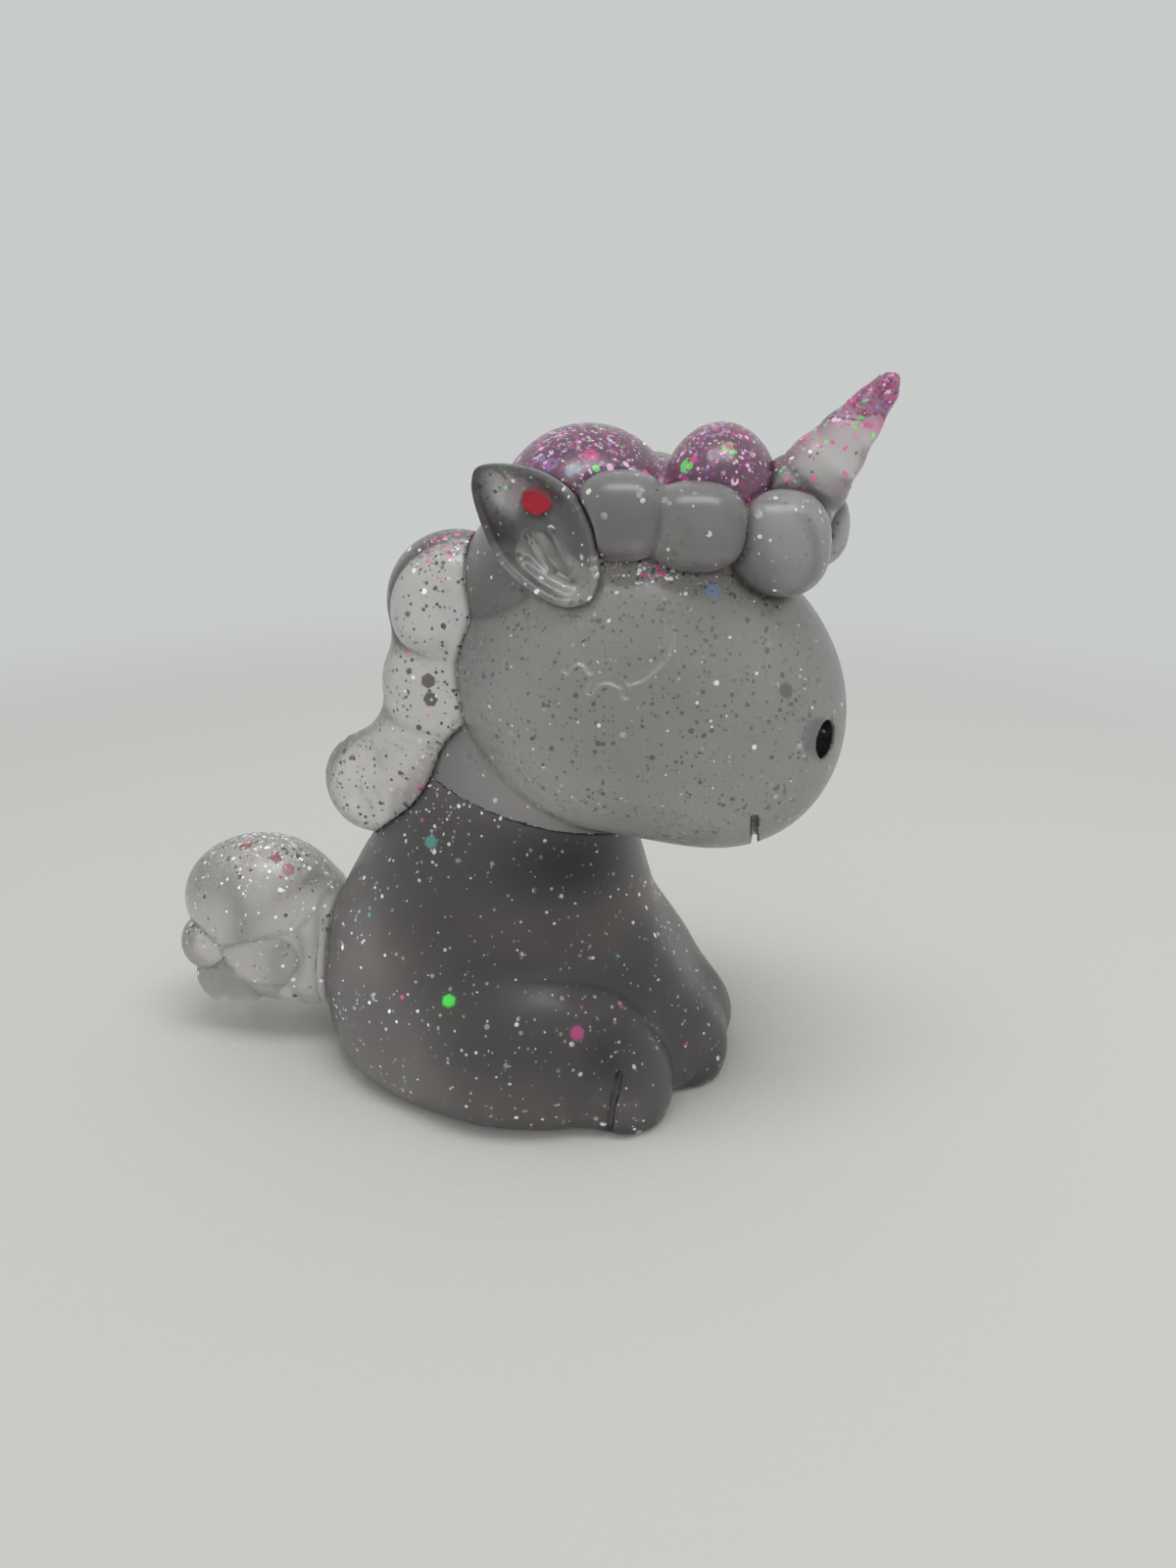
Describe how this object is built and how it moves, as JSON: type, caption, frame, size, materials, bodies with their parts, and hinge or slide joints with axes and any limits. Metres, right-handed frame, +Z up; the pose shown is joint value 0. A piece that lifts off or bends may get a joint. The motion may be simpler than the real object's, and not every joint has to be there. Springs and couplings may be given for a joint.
{
  "type": "unicorn figurine",
  "caption": "Small seated unicorn figurine of cast translucent resin with glitter: flat underside, egg-shaped head, waved horn, cupped ears, rolled mane and curled tail.",
  "frame": {"origin": "on the flat underside, in the figure's middle plane and below the torso", "axes": "+X forward, the way the muzzle points; +Y to the figure's left; +Z up"},
  "size_m": [0.088, 0.0474, 0.0845],
  "materials": {
    "body_smoke": "satin",
    "head_smoke": "satin",
    "clear": "satin",
    "pink": "satin",
    "flake_red": "glossy",
    "flake_green": "glossy",
    "flake_pink": "glossy",
    "flake_turquoise": "glossy",
    "flake_blue": "glossy",
    "flake_dark": "glossy"
  },
  "bodies": {
    "root": {"torso": "body_smoke", "haunch_right": "body_smoke", "haunch_left": "body_smoke", "hind_hoof_right": "body_smoke", "hind_hoof_left": "body_smoke", "foreleg_right": "body_smoke", "foreleg_left": "body_smoke", "fore_hoof_right": "body_smoke", "fore_hoof_left": "body_smoke", "head": "head_smoke", "poll": "head_smoke", "ear_right": "head_smoke", "ear_left": "head_smoke", "horn": "clear", "horn_tip": "pink", "crown_roll_rear": "pink", "crown_roll_front": "pink", "brow_lock_rear_right": "clear", "brow_lock_rear_left": "clear", "brow_lock_middle_right": "clear", "brow_lock_middle_left": "clear", "brow_lock_front_right": "clear", "brow_lock_front_left": "clear", "nape_lock_upper": "clear", "nape_lock_middle": "clear", "nape_lock_lower": "clear", "nape_curl": "clear", "tail_root": "clear", "tail_lock_upper": "clear", "tail_lock_under": "clear", "tail_lock_side_right": "clear", "tail_lock_side_left": "clear", "tail_curl_right": "clear", "tail_curl_left": "clear", "tail_low_curl_right": "clear", "tail_low_curl_left": "clear", "flakes_red": "flake_red", "flakes_green": "flake_green", "flakes_pink": "flake_pink", "flakes_turquoise": "flake_turquoise", "flakes_blue": "flake_blue", "flakes_dark": "flake_dark"}
  },
  "joints": []
}
